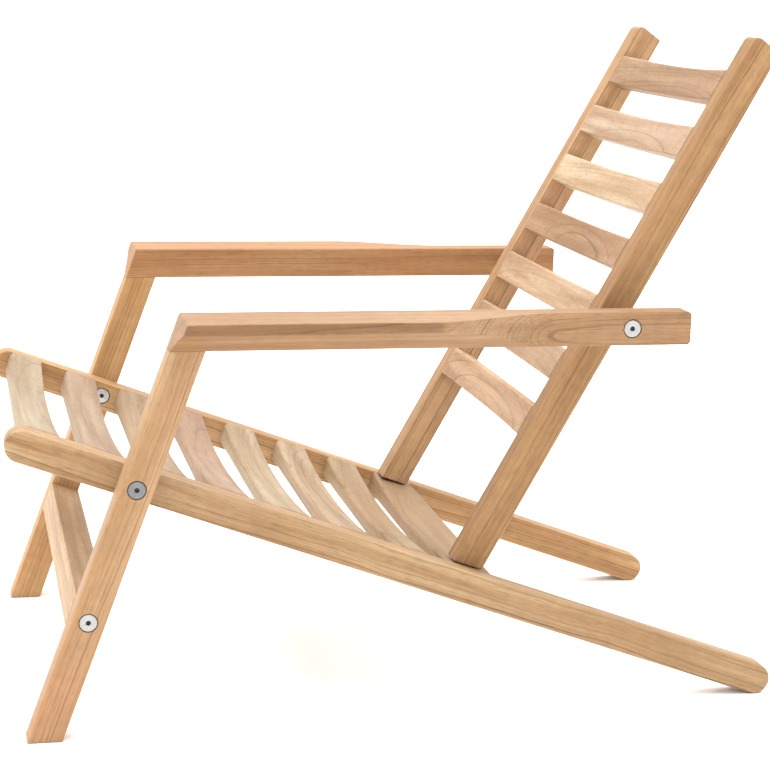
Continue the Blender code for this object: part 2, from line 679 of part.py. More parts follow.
def make_back_pivot(side):
    grip = LEG_OUTER - HEAD_SUNK - HEAD_THICK - STILE_OUTER
    length = grip + INSERT_LENGTH - CUT
    name = "back_pivot_bolt_" + name_side(side)
    profile = head_profile(length, BACK_BOLT_RADIUS)
    bolt = turned(name, profile, stainless(name), backrest, (side * LEG_OUTER, 0, 0), side)
    cut_socket(bolt, -HEAD_SUNK)

    name = "back_pivot_spacer_" + name_side(side)
    inner = BACK_BOLT_RADIUS + GAP
    half = (LEG_INNER - STILE_OUTER) / 2 - GAP
    profile = [(SPACER_RADIUS, half), (SPACER_RADIUS, -half), (inner, -half), (inner, half)]
    place = (side * (LEG_INNER + STILE_OUTER) / 2, 0, 0)
    turned(name, profile, stainless(name), backrest, place, side, closed=True)

    name = "back_pivot_insert_" + name_side(side)
    profile = [(INSERT_RADIUS, 0), (INSERT_RADIUS, -INSERT_LENGTH), (inner, -INSERT_LENGTH),
               (inner, 0)]
    place = (side * (STILE_OUTER - GAP), 0, 0)
    turned(name, profile, stainless(name), backrest, place, side, closed=True)


for this_side in SIDES:
    make_leg(this_side)
    make_arm(this_side)
    make_dowels(this_side)
    make_stretcher_fixings(this_side)
    make_seat_pivot(this_side)
    make_rail(this_side)
    make_stile(this_side)
    make_back_pivot(this_side)
make_stretcher()
make_seat_slats()
make_back_slats()
bpy.context.view_layer.update()
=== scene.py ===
# Folding deck chair in teak on stainless pivots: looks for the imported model.

from math import cos, pi, radians, sin, sqrt

import bmesh
import bpy
from mathutils import Euler, Matrix, Vector


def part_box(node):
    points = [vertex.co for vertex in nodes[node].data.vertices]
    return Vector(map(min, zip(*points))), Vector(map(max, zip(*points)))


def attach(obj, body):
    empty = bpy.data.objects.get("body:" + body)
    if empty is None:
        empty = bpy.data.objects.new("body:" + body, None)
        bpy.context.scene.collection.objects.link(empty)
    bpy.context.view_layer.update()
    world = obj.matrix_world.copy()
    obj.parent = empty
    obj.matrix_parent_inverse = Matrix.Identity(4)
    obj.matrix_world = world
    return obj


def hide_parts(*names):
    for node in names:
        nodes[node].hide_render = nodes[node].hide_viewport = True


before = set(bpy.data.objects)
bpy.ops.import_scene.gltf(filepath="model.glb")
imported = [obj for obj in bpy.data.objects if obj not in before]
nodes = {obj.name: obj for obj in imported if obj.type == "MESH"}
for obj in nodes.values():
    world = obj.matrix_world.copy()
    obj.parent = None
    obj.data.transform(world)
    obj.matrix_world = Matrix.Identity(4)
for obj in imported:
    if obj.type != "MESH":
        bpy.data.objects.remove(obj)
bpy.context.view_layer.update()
print("frame loaded:", len(nodes), "nodes")

# how far the bars turn about the x axis, from level or upright
turns = {"rail": -radians(19.617), "leg": -radians(19.6), "stile": -radians(28.8)}
acrossChair = (1, 0, 0)
# where each kind of board starts in the wood
seeds = {"bars": 3, "stretcher": 17, "seatSlats": 31, "backSlats": 47, "dowels": 61}


def deselectAll():
    for thing in bpy.context.selected_objects:
        thing.select_set(False)


def makeActive(piece):
    deselectAll()
    piece.select_set(True)
    bpy.context.view_layer.objects.active = piece


# ---- materials

def linear(hexColour):
    channels = [int(hexColour[n:n + 2], 16) / 255 for n in (1, 3, 5)]
    return [c / 12.92 if c <= 0.04045 else ((c + 0.055) / 1.055) ** 2.4 for c in channels] + [1]


def fill(tree, node, inputs):
    # each input is given a constant, or the socket that feeds it
    for key, value in inputs.items():
        if isinstance(value, bpy.types.NodeSocket):
            tree.links.new(value, node.inputs[key])
        else:
            node.inputs[key].default_value = value


def addNode(tree, kind, inputs=None, **settings):
    node = tree.nodes.new(kind)
    for key, value in settings.items():
        setattr(node, key, value)
    fill(tree, node, inputs or {})
    return node


def calculate(tree, operation, *terms):
    return addNode(tree, "ShaderNodeMath", dict(enumerate(terms)), operation=operation).outputs[0]


def calculateVector(tree, operation, *terms):
    node = addNode(tree, "ShaderNodeVectorMath", dict(enumerate(terms)), operation=operation)
    return node.outputs["Value" if operation in ("LENGTH", "DOT_PRODUCT") else "Vector"]


def remap(tree, source, fromSpan, toSpan):
    return addNode(tree, "ShaderNodeMapRange", {
        "Value": source, "From Min": fromSpan[0], "From Max": fromSpan[1],
        "To Min": toSpan[0], "To Max": toSpan[1]}).outputs[0]


def mixColour(tree, share, first, second):
    # the colour sockets of a mix node are 6, 7 and, coming out, 2
    return addNode(tree, "ShaderNodeMix", {0: share, 6: first, 7: second},
                   data_type="RGBA").outputs[2]


def addNoise(tree, source, shift, scale, detail, roughness=0.5):
    # scale is how many blotches come to a metre, along the board and across it
    place = addNode(tree, "ShaderNodeMapping", {"Vector": source, "Location": shift,
                                                "Scale": scale})
    return addNode(tree, "ShaderNodeTexNoise", {"Vector": place.outputs[0], "Scale": 1,
                                                "Detail": detail, "Roughness": roughness})


def setGreyRamp(node, stops):
    ramp = node.color_ramp
    while len(ramp.elements) < len(stops):
        ramp.elements.new(0.5)
    for element, (place, grey) in zip(ramp.elements, stops):
        element.position = place
        element.color = (grey, grey, grey, 1)
    return node.outputs[0]


def newMaterial(name):
    material = bpy.data.materials.new(name)
    material.use_nodes = True
    tree = material.node_tree
    return material, tree, tree.nodes["Principled BSDF"]


def grainTurn(along, face):
    # Euler that turns x to the grain and z to the board's widest face
    along = Vector(along).normalized()
    face = Vector(face)
    face = (face - along * face.dot(along)).normalized()
    across = face.cross(along)
    return Matrix((along, across, face)).transposed().to_euler()


# Boards: light and middle are the paler and warmer bands of the wood, dark its ring lines and
# pores, blush its pinker patches. ringMm is the mean spacing of the rings, pith the tree's
# centre from the board's centre in metres (across the face, through it), tilt in degrees is how
# far the grain runs out along the board, wave in metres is how far the tree bends, lines is how
# dark the rings show, lineWidth their share of a ring, ends how bright the sawn ends are beside
# the faces, and darkFace how much of a dark ring the outermost face shows.
boards = {
    "leg": {"light": "#C69D76", "middle": "#B3855C", "dark": "#7D4E2C", "blush": "#BF8660",
            "ringMm": 4.4, "pith": (0.055, -0.050), "tilt": 0.4, "wave": 0.016, "lines": 0.80,
            "lineWidth": 0.22, "ends": 0.90, "darkFace": 0},
    "arm": {"light": "#B3906F", "middle": "#A07855", "dark": "#5F3E26", "blush": "#AA7F5D",
            "ringMm": 3.0, "pith": (0.006, -0.050), "tilt": 0.6, "wave": 0.016, "lines": 0.85,
            "lineWidth": 0.20, "ends": 1.02, "darkFace": 0.40},
    "rail": {"light": "#BA966E", "middle": "#9C744C", "dark": "#4E331E", "blush": "#AC8560",
             "ringMm": 3.8, "pith": (0.050, -0.050), "tilt": 0.5, "wave": 0.024, "lines": 0.95,
             "lineWidth": 0.24, "ends": 0.92, "darkFace": 0},
    "stile": {"light": "#B28C64", "middle": "#9B734B", "dark": "#573820", "blush": "#A87E59",
              "ringMm": 4.6, "pith": (0.065, -0.045), "tilt": 0.3, "wave": 0.012, "lines": 1.0,
              "lineWidth": 0.24, "ends": 0.92, "darkFace": 0},
    "seatSlat": {"light": "#BBA388", "middle": "#A08365", "dark": "#6B4E34", "blush": "#AE8E73",
                 "ringMm": 4.0, "pith": (0.035, -0.060), "tilt": 0.5, "wave": 0.013,
                 "lines": 0.55, "lineWidth": 0.13, "ends": 0.92, "darkFace": 0},
    "backSlat": {"light": "#BB9F7B", "middle": "#A07F59", "dark": "#6A492C", "blush": "#AE8A68",
                 "ringMm": 4.0, "pith": (-0.035, -0.055), "tilt": 0.6, "wave": 0.014,
                 "lines": 0.55, "lineWidth": 0.13, "ends": 0.92, "darkFace": 0},
}

# how much lighter or darker each stick is than its kind; partly the boards' own tone, as they were
# cut from many logs,
# and partly painted light and shade where each stick stands, such as the backrest's shadow painted
# on the last seat slat
toneAndPaintedShade = {
    "leg_left": (0.73, 0.80, 0.81), "leg_right": (0.84, 0.86, 0.73),
    "arm_left": (0.70, 0.69, 0.62), "arm_right": (0.84, 0.74, 0.59),
    "seat_rail_left": (0.83, 0.89, 0.92), "seat_rail_right": (0.99, 0.98, 0.91),
    "back_stile_left": (0.76, 0.74, 0.67), "back_stile_right": (0.92, 0.94, 0.97),
    "leg_stretcher": (0.92, 0.85, 0.74), "seat_slat_1": (0.65, 0.70, 0.70),
    "seat_slat_2": (0.62, 0.62, 0.63), "seat_slat_3": (0.61, 0.60, 0.55),
    "seat_slat_4": (0.64, 0.60, 0.60), "seat_slat_5": (0.74, 0.78, 0.76),
    "seat_slat_6": (0.71, 0.70, 0.65), "seat_slat_7": (0.63, 0.60, 0.51),
    "seat_slat_8": (0.58, 0.54, 0.45), "back_slat_1": (0.65, 0.59, 0.59),
    "back_slat_2": (0.87, 0.91, 1.09), "back_slat_3": (0.98, 1.05, 1.19),
    "back_slat_4": (0.69, 0.62, 0.59), "back_slat_5": (0.91, 0.91, 1.01),
    "back_slat_6": (0.76, 0.75, 0.78), "back_slat_7": (0.85, 0.81, 0.86),
}


def makeTeak(name, board, centre, along, face, seed, halfSizes):
    # unvarnished teak, fine sanded: satin, straight grained, with thin brown ring lines and pores
    look = boards[board]
    dark = linear(look["dark"])
    material, tree, shader = newMaterial(name + "_sandedTeak")
    place = addNode(tree, "ShaderNodeTexCoord")
    shift = Vector((seed * 0.731 % 1, seed * 0.437 % 1, seed * 0.293 % 1))
    inBoard = addNode(tree, "ShaderNodeMapping", {
        "Vector": place.outputs["Object"], "Location": centre,
        "Rotation": grainTurn(along, face)}, vector_type="TEXTURE").outputs[0]

    # the tree's slow bends carry the rings sideways
    bend = addNoise(tree, inBoard, shift * 7, (3.2, 5, 5), 3, 0.42).outputs["Color"]
    centred = calculateVector(tree, "SUBTRACT", bend, (0.5, 0.5, 0.5))
    sized = calculateVector(tree, "MULTIPLY", centred, (0, look["wave"], look["wave"]))
    wavy = calculateVector(tree, "ADD", inBoard, sized)

    # growth rings round the pith, which lies outside the board and slightly out of line with it
    swing = seed * 0.618 % 1 - 0.5
    tilt = radians(look["tilt"] * (0.6 + 0.8 * (seed * 0.377 % 1)))
    pith = (0, -look["pith"][0] - 0.04 * swing, -look["pith"][1] + 0.02 * swing)
    fromPith = addNode(tree, "ShaderNodeMapping", {
        "Vector": wavy, "Location": pith, "Rotation": (0, tilt, tilt * swing * 2)}).outputs[0]
    flat = calculateVector(tree, "MULTIPLY", fromPith, (0, 1, 1))
    radius = calculateVector(tree, "LENGTH", flat)
    # good and lean years: the rings stand from half to twice their mean spacing apart
    growth = addNode(tree, "ShaderNodeTexNoise", {"W": radius, "Scale": 34, "Detail": 1.5},
                     noise_dimensions="1D").outputs["Fac"]
    growthYears = calculate(tree, "MULTIPLY_ADD", growth, 3.4, seed * 3.7)
    age = calculate(tree, "MULTIPLY_ADD", radius, 1000 / look["ringMm"], growthYears)
    year = calculate(tree, "FLOOR", age)
    season = calculate(tree, "FRACT", age)
    yearLuck = addNode(tree, "ShaderNodeTexWhiteNoise", {"W": year},
                       noise_dimensions="1D").outputs["Value"]
    yearShow = remap(tree, yearLuck, (0.35, 0.95), (0.10, 1))
    ringLine = setGreyRamp(addNode(tree, "ShaderNodeValToRGB", {"Fac": season}), [
        (0, 1), (look["lineWidth"], 0.85), (look["lineWidth"] + 0.10, 0.24), (0.60, 0.07),
        (1, 0.02)])
    # a ring line comes and goes along the board
    fade = addNoise(tree, wavy, shift * 3, (3, 40, 40), 2).outputs["Fac"]
    fadeShow = remap(tree, fade, (0.34, 0.60), (0.45, 1))
    ringKept = calculate(tree, "MULTIPLY", ringLine, yearShow)
    ringShow = calculate(tree, "MULTIPLY", ringKept, fadeShow)

    # fibres a fraction of a millimetre wide are drawn 1 to 2 mm wide, so that they show
    fibre = addNoise(tree, wavy, shift, (10, 560, 560), 5, 0.66).outputs["Fac"]
    # open pores, short dark dashes
    pore = addNoise(tree, wavy, shift * 2, (60, 900, 900), 1).outputs["Fac"]
    poreDark = remap(tree, pore, (0.58, 0.70), (0, 0.34))
    # broad bands of warmer and paler wood
    band = addNoise(tree, wavy, shift * 5, (2.6, 55, 55), 3).outputs["Fac"]
    bandShow = remap(tree, band, (0.36, 0.64), (0, 1))
    # cross shimmer, where the fibres dip and rise every centimetre or two
    shimmer = addNoise(tree, wavy, shift * 9, (70, 40, 40), 2).outputs["Fac"]
    # pinker patches
    patch = addNoise(tree, inBoard, shift * 11, (3.5, 9, 9), 1).outputs["Fac"]
    patchShow = remap(tree, patch, (0.45, 0.7), (0, 0.6))

    ground = mixColour(tree, bandShow, linear(look["middle"]), linear(look["light"]))
    warmed = mixColour(tree, patchShow, ground, linear(look["blush"]))
    lineShare = calculate(tree, "MULTIPLY", ringShow, look["lines"])
    ringed = mixColour(tree, lineShare, warmed, dark)
    pored = mixColour(tree, poreDark, ringed, dark)
    # where the outermost face was sawn along a dark ring, the whole face takes its brown
    depth = addNode(tree, "ShaderNodeSeparateXYZ", {0: inBoard}).outputs[2]
    atFace = remap(tree, depth, (halfSizes[1] - 0.0010, halfSizes[1] - 0.0003),
                   (0, look["darkFace"]))
    faced = mixColour(tree, atFace, pored, dark)

    fibreTone = remap(tree, fibre, (0.3, 0.7), (0.84, 1.12))
    shimmerTone = remap(tree, shimmer, (0.3, 0.7), (0.95, 1.05))
    tone = calculate(tree, "MULTIPLY", fibreTone, shimmerTone)
    # sawn ends drink more oil and look darker
    facing = calculateVector(tree, "DOT_PRODUCT", place.outputs["Normal"],
                             Vector(along).normalized())
    endShare = calculate(tree, "ABSOLUTE", facing)
    endTone = remap(tree, endShare, (0.72, 0.95), (1, look["ends"]))
    toned = calculate(tree, "MULTIPLY", tone, endTone)
    # the long eased edges are rubbed paler
    outward = calculateVector(tree, "ABSOLUTE", inBoard)
    toEdge = calculateVector(tree, "SUBTRACT", outward, (0, halfSizes[0], halfSizes[1]))
    edgeAxes = addNode(tree, "ShaderNodeSeparateXYZ", {0: toEdge}).outputs
    nearest = calculate(tree, "MINIMUM", edgeAxes[1], edgeAxes[2])
    rubbed = remap(tree, nearest, (-0.0030, -0.0008), (1, 1.09))
    brightness = calculate(tree, "MULTIPLY", toned, rubbed)
    lit = addNode(tree, "ShaderNodeVectorMath", {0: faced, "Scale": brightness},
                  operation="SCALE").outputs[0]
    # each stick's own tone, with its painted light and shade
    stick = calculateVector(tree, "MULTIPLY", lit, toneAndPaintedShade.get(name, (1, 1, 1)))

    shine = remap(tree, fibre, (0.3, 0.7), (0.50, 0.66))
    relief = calculate(tree, "MULTIPLY_ADD", ringShow, -0.5, fibre)
    bump = addNode(tree, "ShaderNodeBump", {"Height": relief, "Strength": 0.35,
                                            "Distance": 0.0004}).outputs[0]
    fill(tree, shader, {"Base Color": stick, "Roughness": shine, "Normal": bump, "IOR": 1.45,
                        "Specular IOR Level": 0.35})
    return material


plainSteel = ("#B0B0AE", "#9C9C9A")
# a wave texture repeats after this over its scale, and tool marks 0.1 mm apart are drawn
# 0.6 mm apart, so that they show
waveLength = 0.31416
markSpacing = 0.0006


def makeSteel(name, centre, dull=0.0, tones=plainSteel):
    # stainless steel, faced on a lathe: fine rings round the head stretch its highlights
    material, tree, shader = newMaterial(name + "_turnedStainless")
    place = addNode(tree, "ShaderNodeTexCoord")
    onHead = addNode(tree, "ShaderNodeMapping", {
        "Vector": place.outputs["Object"], "Location": centre}, vector_type="TEXTURE").outputs[0]
    marks = addNode(tree, "ShaderNodeTexWave", {
        "Vector": onHead, "Scale": waveLength / markSpacing, "Distortion": 0.6, "Detail": 1},
        wave_type="RINGS", rings_direction="X").outputs["Fac"]
    stain = addNode(tree, "ShaderNodeTexNoise", {
        "Vector": onHead, "Scale": 260, "Detail": 3}).outputs["Fac"]
    tint = mixColour(tree, stain, linear(tones[0]), linear(tones[1]))
    rough = remap(tree, stain, (0, 1), (0.22 + dull, 0.40 + dull))
    bump = addNode(tree, "ShaderNodeBump", {"Height": marks, "Strength": 0.25,
                                            "Distance": 0.00005}).outputs[0]
    around = addNode(tree, "ShaderNodeTangent", direction_type="RADIAL", axis="X").outputs[0]
    fill(tree, shader, {"Base Color": tint, "Roughness": rough, "Normal": bump,
                        "Tangent": around, "Metallic": 1, "Anisotropic": 0.65})
    return material


def makeSocketShade():
    # painted shade: the sockets are coloured near black, with a faint mottle, so that they read as
    # holes
    material, tree, shader = newMaterial("socket_painted_shade")
    place = addNode(tree, "ShaderNodeTexCoord")
    mottle = addNode(tree, "ShaderNodeTexNoise", {
        "Vector": place.outputs["Object"], "Scale": 900, "Detail": 2}).outputs["Fac"]
    tint = mixColour(tree, mottle, linear("#1B1917"), linear("#4A4541"))
    fill(tree, shader, {"Base Color": tint, "Roughness": 0.75, "Metallic": 0.3})
    return material


def paint(piece, material):
    piece.data.materials.clear()
    piece.data.materials.append(material)
    for polygon in piece.data.polygons:
        polygon.material_index = 0


# ---- shaping by hand

# points closer than this count as one place
hair = 0.0001


def selectWhere(piece, kind, test):
    bpy.ops.mesh.select_all(action="DESELECT")
    shape = bmesh.from_edit_mesh(piece.data)
    for part in {"verts": shape.verts, "edges": shape.edges, "faces": shape.faces}[kind]:
        if test(part):
            part.select_set(True)
    bmesh.update_edit_mesh(piece.data)


def finishSurface(piece, angle=40):
    # smooth over the eased edges, with flat faces kept flat
    makeActive(piece)
    bpy.ops.object.shade_smooth_by_angle(angle=radians(angle))
    weigh = piece.modifiers.new("flatFaces", "WEIGHTED_NORMAL")
    weigh.keep_sharp = True
    weigh.weight = 90
    bpy.ops.object.modifier_apply(modifier=weigh.name)


def fromFrame(nodeName, newName, angle=40):
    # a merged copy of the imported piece, so that its rounds and eased edges can be smooth
    weldDistance, flatUnder = 0.00002, radians(0.2)
    piece = bpy.data.objects.new(newName, nodes[nodeName].data.copy())
    bpy.context.scene.collection.objects.link(piece)
    makeActive(piece)
    bpy.ops.object.mode_set(mode="EDIT")
    bpy.ops.mesh.select_all(action="SELECT")
    bpy.ops.mesh.remove_doubles(threshold=weldDistance)
    bpy.ops.mesh.dissolve_limited(angle_limit=flatUnder)
    bpy.ops.object.mode_set(mode="OBJECT")
    finishSurface(piece, angle)
    return piece


def boxAlong(nodeName, turn):
    # a node's box in axes turned about x, as the bars lie
    back = Matrix.Rotation(-turn, 4, "X")
    points = [back @ vert.co for vert in nodes[nodeName].data.vertices]
    low = Vector([min(point[n] for point in points) for n in range(3)])
    high = Vector([max(point[n] for point in points) for n in range(3)])
    return low, high


def settle(piece, nodeName, body):
    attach(piece, body)
    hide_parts(nodeName)
    return piece


# ---- bars: legs, arms, rails, stiles and the stretcher

# long is the axis that the bar runs along before it is turned
bars = {
    "leg": {"turn": turns["leg"], "long": 2, "board": "leg", "body": "leg_frame"},
    "arm": {"turn": 0, "long": 1, "board": "arm", "body": "leg_frame"},
    "seat_rail": {"turn": turns["rail"], "long": 1, "board": "rail", "body": "seat_frame"},
    "back_stile": {"turn": turns["stile"], "long": 2, "board": "stile", "body": "backrest"},
}

seed = seeds["bars"]
for kind, bar in bars.items():
    lay = Matrix.Rotation(bar["turn"], 4, "X")
    along = lay @ Vector([1 if n == bar["long"] else 0 for n in range(3)])
    for side, mirror in (("left", 1), ("right", -1)):
        nodeName = f"{kind}_{side}"
        low, high = boxAlong(nodeName, bar["turn"])
        halfSizes = [(high[n] - low[n]) / 2 for n in (3 - bar["long"], 0)]
        piece = fromFrame(nodeName, nodeName + "_timber")
        paint(piece, makeTeak(nodeName, bar["board"], lay @ ((low + high) / 2), along,
                              (mirror, 0, 0), seed, halfSizes))
        settle(piece, nodeName, bar["body"])
        seed += 1
print("bars done")

# the stretcher lies across the legs and was cut like the seat slats
stretcher = fromFrame("leg_stretcher", "leg_stretcher_timber")
lay = Matrix.Rotation(turns["leg"], 4, "X")
low, high = boxAlong("leg_stretcher", turns["leg"])
halfSizes = ((high.z - low.z) / 2, (high.y - low.y) / 2)
paint(stretcher, makeTeak("leg_stretcher", "seatSlat", lay @ ((low + high) / 2), acrossChair,
                          lay @ Vector((0, -1, 0)), seeds["stretcher"], halfSizes))
settle(stretcher, "leg_stretcher", "leg_frame")


# ---- slats, dished for comfort

slatCut = {"dish": 0.0115, "easing": 0.0015, "tenonInset": 0.008, "tenonLength": 0.0125,
           "stations": 16, "smoothUnder": 38}
slatShapes = {
    "seat": {**slatCut, "frontRound": 0.0065, "rearRound": 0.0022, "flatRear": False},
    "last": {**slatCut, "frontRound": 0.0050, "rearRound": 0.0015, "flatRear": True},
    "back": {**slatCut, "frontRound": 0.0040, "rearRound": 0.0022, "flatRear": False},
}
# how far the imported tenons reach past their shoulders
packedTenon = 0.013
# shoulders are drawn home against the rails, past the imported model's working gap
jointPress = 0.0004


def isLong(edge, half):
    return edge.calc_length() > half


def atCorner(edge, y, z):
    return all(abs(vert.co.y - y) < hair and abs(vert.co.z - z) < hair for vert in edge.verts)


def modelSlat(name, half, width, thick, shape):
    # face at z = 0, front edge at y = 0, tenons past both ends; only the face is dished
    deselectAll()
    bpy.ops.mesh.primitive_cube_add(size=1, location=(0, width / 2, -thick / 2),
                                    scale=(2 * half, width, thick))
    slat = bpy.context.object
    slat.name = name
    bpy.ops.object.transform_apply(location=True, rotation=True, scale=True)
    bpy.ops.object.mode_set(mode="EDIT")
    bpy.ops.mesh.select_mode(type="FACE")
    for way in (1, -1):
        selectWhere(slat, "faces", lambda face: face.normal.x * way > 0.9)
        bpy.ops.mesh.inset(thickness=shape["tenonInset"], use_even_offset=True)
        bpy.ops.mesh.extrude_region_move(
            TRANSFORM_OT_translate={"value": (way * shape["tenonLength"], 0, 0)})
    bpy.ops.mesh.select_mode(type="EDGE")
    rounds = [(0, 0, shape["frontRound"], 5), (width, 0, shape["rearRound"], 3),
              (0, -thick, shape["easing"], 2), (width, -thick, shape["easing"], 2)]
    for y, z, size, steps in rounds:
        selectWhere(slat, "edges", lambda edge: isLong(edge, half) and atCorner(edge, y, z))
        bpy.ops.mesh.bevel(offset=size, segments=steps, affect="EDGES")
    selectWhere(slat, "edges", lambda edge: isLong(edge, half))
    bpy.ops.mesh.subdivide(number_cuts=shape["stations"] - 1)
    bpy.ops.mesh.select_mode(type="VERT")
    # the last seat slat stays flat at the rear, under the foot of the backrest
    dishedTo = width / 2 if shape["flatRear"] else 2 * width
    arc = (half ** 2 + shape["dish"] ** 2) / (2 * shape["dish"])
    for n in range(1, shape["stations"]):
        x = -half + 2 * half * n / shape["stations"]
        hollow = sqrt(arc ** 2 - x ** 2) - (arc - shape["dish"])
        selectWhere(slat, "verts", lambda vert: abs(vert.co.x - x) < hair
                    and vert.co.z > -thick / 2 and vert.co.y < dishedTo)
        bpy.ops.transform.translate(value=(0, 0, -hollow))
    bpy.ops.mesh.select_all(action="SELECT")
    bpy.ops.mesh.normals_make_consistent(inside=False)
    bpy.ops.object.mode_set(mode="OBJECT")
    finishSurface(slat, shape["smoothUnder"])
    return slat


def placeSlat(model, nodeName, matrix, body, board, face, seed, halfWidth):
    slat = bpy.data.objects.new(nodeName + "_timber", model.data.copy())
    slat.data.transform(matrix)
    bpy.context.scene.collection.objects.link(slat)
    low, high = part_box(nodeName)
    paint(slat, makeTeak(nodeName, board, (low + high) / 2, acrossChair, face, seed,
                         (halfWidth, 0)))
    settle(slat, nodeName, body)


def slatSizes(nodeName, turn):
    # half length between shoulders, and the box in the slat's own axes
    low, high = boxAlong(nodeName, turn)
    return high.x - packedTenon + jointPress, low, high


seatSlats = sorted(name for name in nodes if name.startswith("seat_slat_"))
lay = Matrix.Rotation(turns["rail"], 4, "X")
models = {}
for n, nodeName in enumerate(seatSlats):
    kind = "last" if nodeName == seatSlats[-1] else "seat"
    half, low, high = slatSizes(nodeName, turns["rail"])
    if kind not in models:
        models[kind] = modelSlat(kind + "SlatModel", half, high.y - low.y, high.z - low.z,
                                 slatShapes[kind])
    placeSlat(models[kind], nodeName, lay @ Matrix.Translation((0, low.y, high.z)), "seat_frame",
              "seatSlat", lay @ Vector((0, 0, 1)), seeds["seatSlats"] + n, (high.y - low.y) / 2)
print("seat slats done")

backSlats = sorted(name for name in nodes if name.startswith("back_slat_"))
lay = Matrix.Rotation(turns["stile"], 4, "X")
upright = Euler((-pi / 2, 0, pi)).to_matrix().to_4x4()
for n, nodeName in enumerate(backSlats):
    half, low, high = slatSizes(nodeName, turns["stile"])
    if "back" not in models:
        models["back"] = modelSlat("backSlatModel", half, high.z - low.z, high.y - low.y,
                                   slatShapes["back"])
    stand = Matrix.Translation((0, low.y, high.z)) @ upright
    placeSlat(models["back"], nodeName, lay @ stand, "backrest", "backSlat",
              lay @ Vector((0, -1, 0)), seeds["backSlats"] + n, (high.z - low.z) / 2)
for model in models.values():
    bpy.data.objects.remove(model)
print("back slats done")


# ---- turned steel fixings

headShape = {"radius": 0.0109, "thick": 0.003, "rim": 0.0009, "rimSteps": 3, "steps": 64,
             "socket": 0.0034, "socketDepth": 0.0026, "dimple": 0.0052, "leadIn": 0.0009,
             "leadDepth": 0.0003, "smoothUnder": 35}


def modelHead(name, shankRadius, shankLength):
    # flat head with its face at z = 0, a chamfered hexagon socket and a plain shank
    shape = headShape
    deselectAll()
    bpy.ops.mesh.primitive_cylinder_add(vertices=shape["steps"], radius=shape["radius"],
                                        depth=shape["thick"], location=(0, 0, -shape["thick"] / 2))
    head = bpy.context.object
    head.name = name
    bpy.ops.object.transform_apply(location=True, rotation=True, scale=True)
    bpy.ops.object.mode_set(mode="EDIT")
    bpy.ops.mesh.select_mode(type="FACE")
    selectWhere(head, "faces", lambda face: face.normal.z < -0.9)
    bpy.ops.mesh.inset(thickness=shape["radius"] - shankRadius)
    bpy.ops.mesh.extrude_region_move(TRANSFORM_OT_translate={"value": (0, 0, -shankLength)})
    bpy.ops.mesh.select_mode(type="EDGE")
    selectWhere(head, "edges", lambda edge: all(abs(vert.co.z) < hair for vert in edge.verts))
    bpy.ops.mesh.bevel(offset=shape["rim"], segments=shape["rimSteps"], affect="EDGES")
    bpy.ops.mesh.select_mode(type="FACE")
    # a shallow countersink leads into the socket; the top is the one face of many sides
    selectWhere(head, "faces", lambda face: face.normal.z > 0.9 and len(face.verts) > 8)
    bpy.ops.mesh.inset(thickness=shape["radius"] - shape["rim"] - shape["dimple"])
    bpy.ops.mesh.inset(thickness=shape["leadIn"], depth=-shape["leadDepth"])
    bpy.ops.object.mode_set(mode="OBJECT")
    bpy.ops.mesh.primitive_cylinder_add(vertices=6, radius=shape["socket"],
                                        depth=2 * shape["socketDepth"], location=(0, 0, 0))
    key = bpy.context.object
    bore = head.modifiers.new("socket", "BOOLEAN")
    bore.object = key
    bore.operation = "DIFFERENCE"
    bore.solver = "EXACT"
    makeActive(head)
    bpy.ops.object.modifier_apply(modifier=bore.name)
    bpy.data.objects.remove(key)
    finishSurface(head, shape["smoothUnder"])
    return head


brightSteel = ("#A6A6A5", "#929291")
# painted reflection: a darker steel colour standing for the darker surroundings that the seat
# pivot heads reflect
steelDarkenedForReflection = ("#7C7D7F", "#696A6C")
bolts = {
    "seat_pivot_bolt": {"shank": 0.0045, "out": 1, "body": "leg_frame", "dull": 0.08,
                        "tones": steelDarkenedForReflection},
    "seat_pivot_sleeve": {"out": -1, "body": "leg_frame", "dull": 0.0, "tones": plainSteel,
                          "smoothUnder": 30},
    "stretcher_bolt": {"shank": 0.0045, "out": 1, "body": "leg_frame", "dull": 0.0,
                       "tones": brightSteel},
    "back_pivot_bolt": {"shank": 0.0040, "out": 1, "body": "backrest", "dull": 0.0,
                        "tones": brightSteel},
}
# degrees that each side's sockets stand turned, as the key left them
socketSpin = {"left": 40, "right": -6}
socketShade = makeSocketShade()
# painted shade in the sockets starts this deep and may reach this far past the socket
socketShadeFrom, socketShadeSlack = 0.0004, 0.0002


def paintSocketShade(piece, faceX, centre):
    # painted shade on the faces inside the socket of a head whose face lies at faceX
    piece.data.materials.append(socketShade)
    for polygon in piece.data.polygons:
        deep = abs(polygon.center.x - faceX)
        out = Vector((polygon.center.y - centre.y, polygon.center.z - centre.z)).length
        inside = out < headShape["socket"] + socketShadeSlack
        if socketShadeFrom < deep < headShape["socketDepth"] + socketShadeSlack and inside:
            polygon.material_index = 1


for kind, bolt in bolts.items():
    for side, mirror in (("left", 1), ("right", -1)):
        nodeName = f"{kind}_{side}"
        low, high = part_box(nodeName)
        centre = (low + high) / 2
        outward = mirror * bolt["out"]
        faceX = high.x if outward > 0 else low.x
        if "shank" in bolt:
            piece = modelHead(nodeName + "_steel", bolt["shank"],
                              high.x - low.x - headShape["thick"])
            stand = Matrix.Translation((faceX, centre.y, centre.z))
            turnOut = Matrix.Rotation(outward * pi / 2, 4, "Y")
            spin = Matrix.Rotation(radians(socketSpin[side]), 4, "Z")
            piece.data.transform(stand @ turnOut @ spin)
        else:
            piece = fromFrame(nodeName, nodeName + "_steel", bolt["smoothUnder"])
        paint(piece, makeSteel(nodeName, (0, centre.y, centre.z), bolt["dull"], bolt["tones"]))
        # painted shade inside the socket
        paintSocketShade(piece, faceX, centre)
        settle(piece, nodeName, bolt["body"])
print("fixings done")

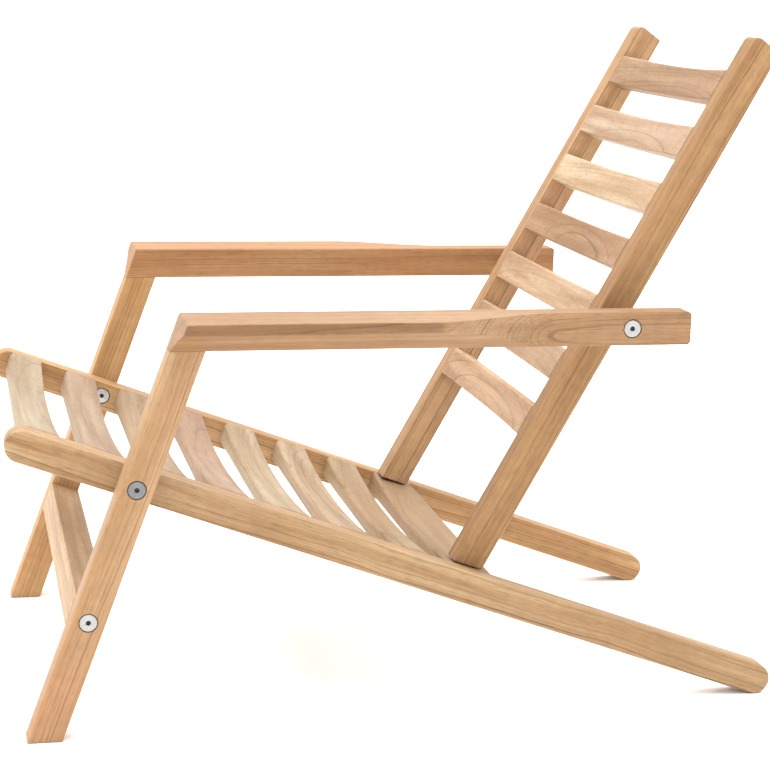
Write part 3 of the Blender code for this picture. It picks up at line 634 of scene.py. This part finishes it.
# pieces kept as packed: spacers, washers, nuts, inserts and the hidden dowels
legUp = Matrix.Rotation(turns["leg"], 4, "X") @ Vector((0, 0, 1))
for nodeName, node in nodes.items():
    low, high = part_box(nodeName)
    centre = (low + high) / 2
    if nodeName.startswith("arm_dowel"):
        halfSizes = [(high.x - low.x) / 2] * 2
        paint(node, makeTeak(nodeName, "leg", centre, legUp, acrossChair, seeds["dowels"],
                             halfSizes))
    elif not node.hide_render:
        paint(node, makeSteel(nodeName, (0, centre.y, centre.z)))
print("kept pieces painted")


# ---- stage: plain pale floor, soft light from overhead

stage = {"floor": "#F7F6F4", "size": 300, "zenith": 1.70, "horizon": 0.95, "sun": 4.4,
         "softness": 95, "sunFrom": (-0.4, -0.1, 3.0)}
deselectAll()
bpy.ops.mesh.primitive_plane_add(size=stage["size"])
floor = bpy.context.object
floor.name = "studio_floor"
floorMaterial, floorTree, floorShader = newMaterial("matt_white_floor")
fill(floorTree, floorShader, {"Base Color": linear(stage["floor"]), "Roughness": 0.9,
                              "Specular IOR Level": 0.1})
paint(floor, floorMaterial)

world = bpy.data.worlds.new("studio")
world.use_nodes = True
worldTree = world.node_tree
# a big soft box overhead: the sky is brightest straight up
upward = addNode(worldTree, "ShaderNodeTexCoord").outputs["Generated"]
height = addNode(worldTree, "ShaderNodeSeparateXYZ", {0: upward}).outputs["Z"]
sky = remap(worldTree, height, (0, 1), (stage["horizon"], stage["zenith"]))
fill(worldTree, worldTree.nodes["Background"], {"Color": (1, 1, 1, 1), "Strength": sky})
bpy.context.scene.world = world
sun = bpy.data.lights.new("softSun", "SUN")
sun.energy = stage["sun"]
sun.angle = radians(stage["softness"])
sunHolder = bpy.data.objects.new("softSun", sun)
sunHolder.rotation_euler = Vector(stage["sunFrom"]).to_track_quat("Z", "Y").to_euler()
bpy.context.scene.collection.objects.link(sunHolder)
bpy.context.scene.view_settings.view_transform = "Standard"

# ---- camera, on the sitter's left and a little above the arms

view = {"place": (2.6205, -0.5602, 0.9228), "azimuth": 77.422, "elevation": 11.610,
        "roll": 1.524, "lens": 93.33, "sensor": 36, "farthest": 500}
azimuth, elevation, roll = (radians(view[key]) for key in ("azimuth", "elevation", "roll"))
ahead = Vector((-sin(azimuth) * cos(elevation), cos(azimuth) * cos(elevation), -sin(elevation)))
right = Vector((cos(azimuth), sin(azimuth), 0))
above = right.cross(ahead)
rightRolled = right * cos(roll) + above * sin(roll)
aboveRolled = above * cos(roll) - right * sin(roll)
camera = bpy.data.cameras.new("camera")
camera.lens = view["lens"]
camera.sensor_width = view["sensor"]
camera.clip_end = view["farthest"]
cameraHolder = bpy.data.objects.new("camera", camera)
cameraHolder.matrix_world = Matrix.Translation(view["place"]) @ Matrix(
    (rightRolled, aboveRolled, -ahead)).transposed().to_4x4()
bpy.context.scene.collection.objects.link(cameraHolder)
bpy.context.scene.camera = cameraHolder
print("stage and camera done")
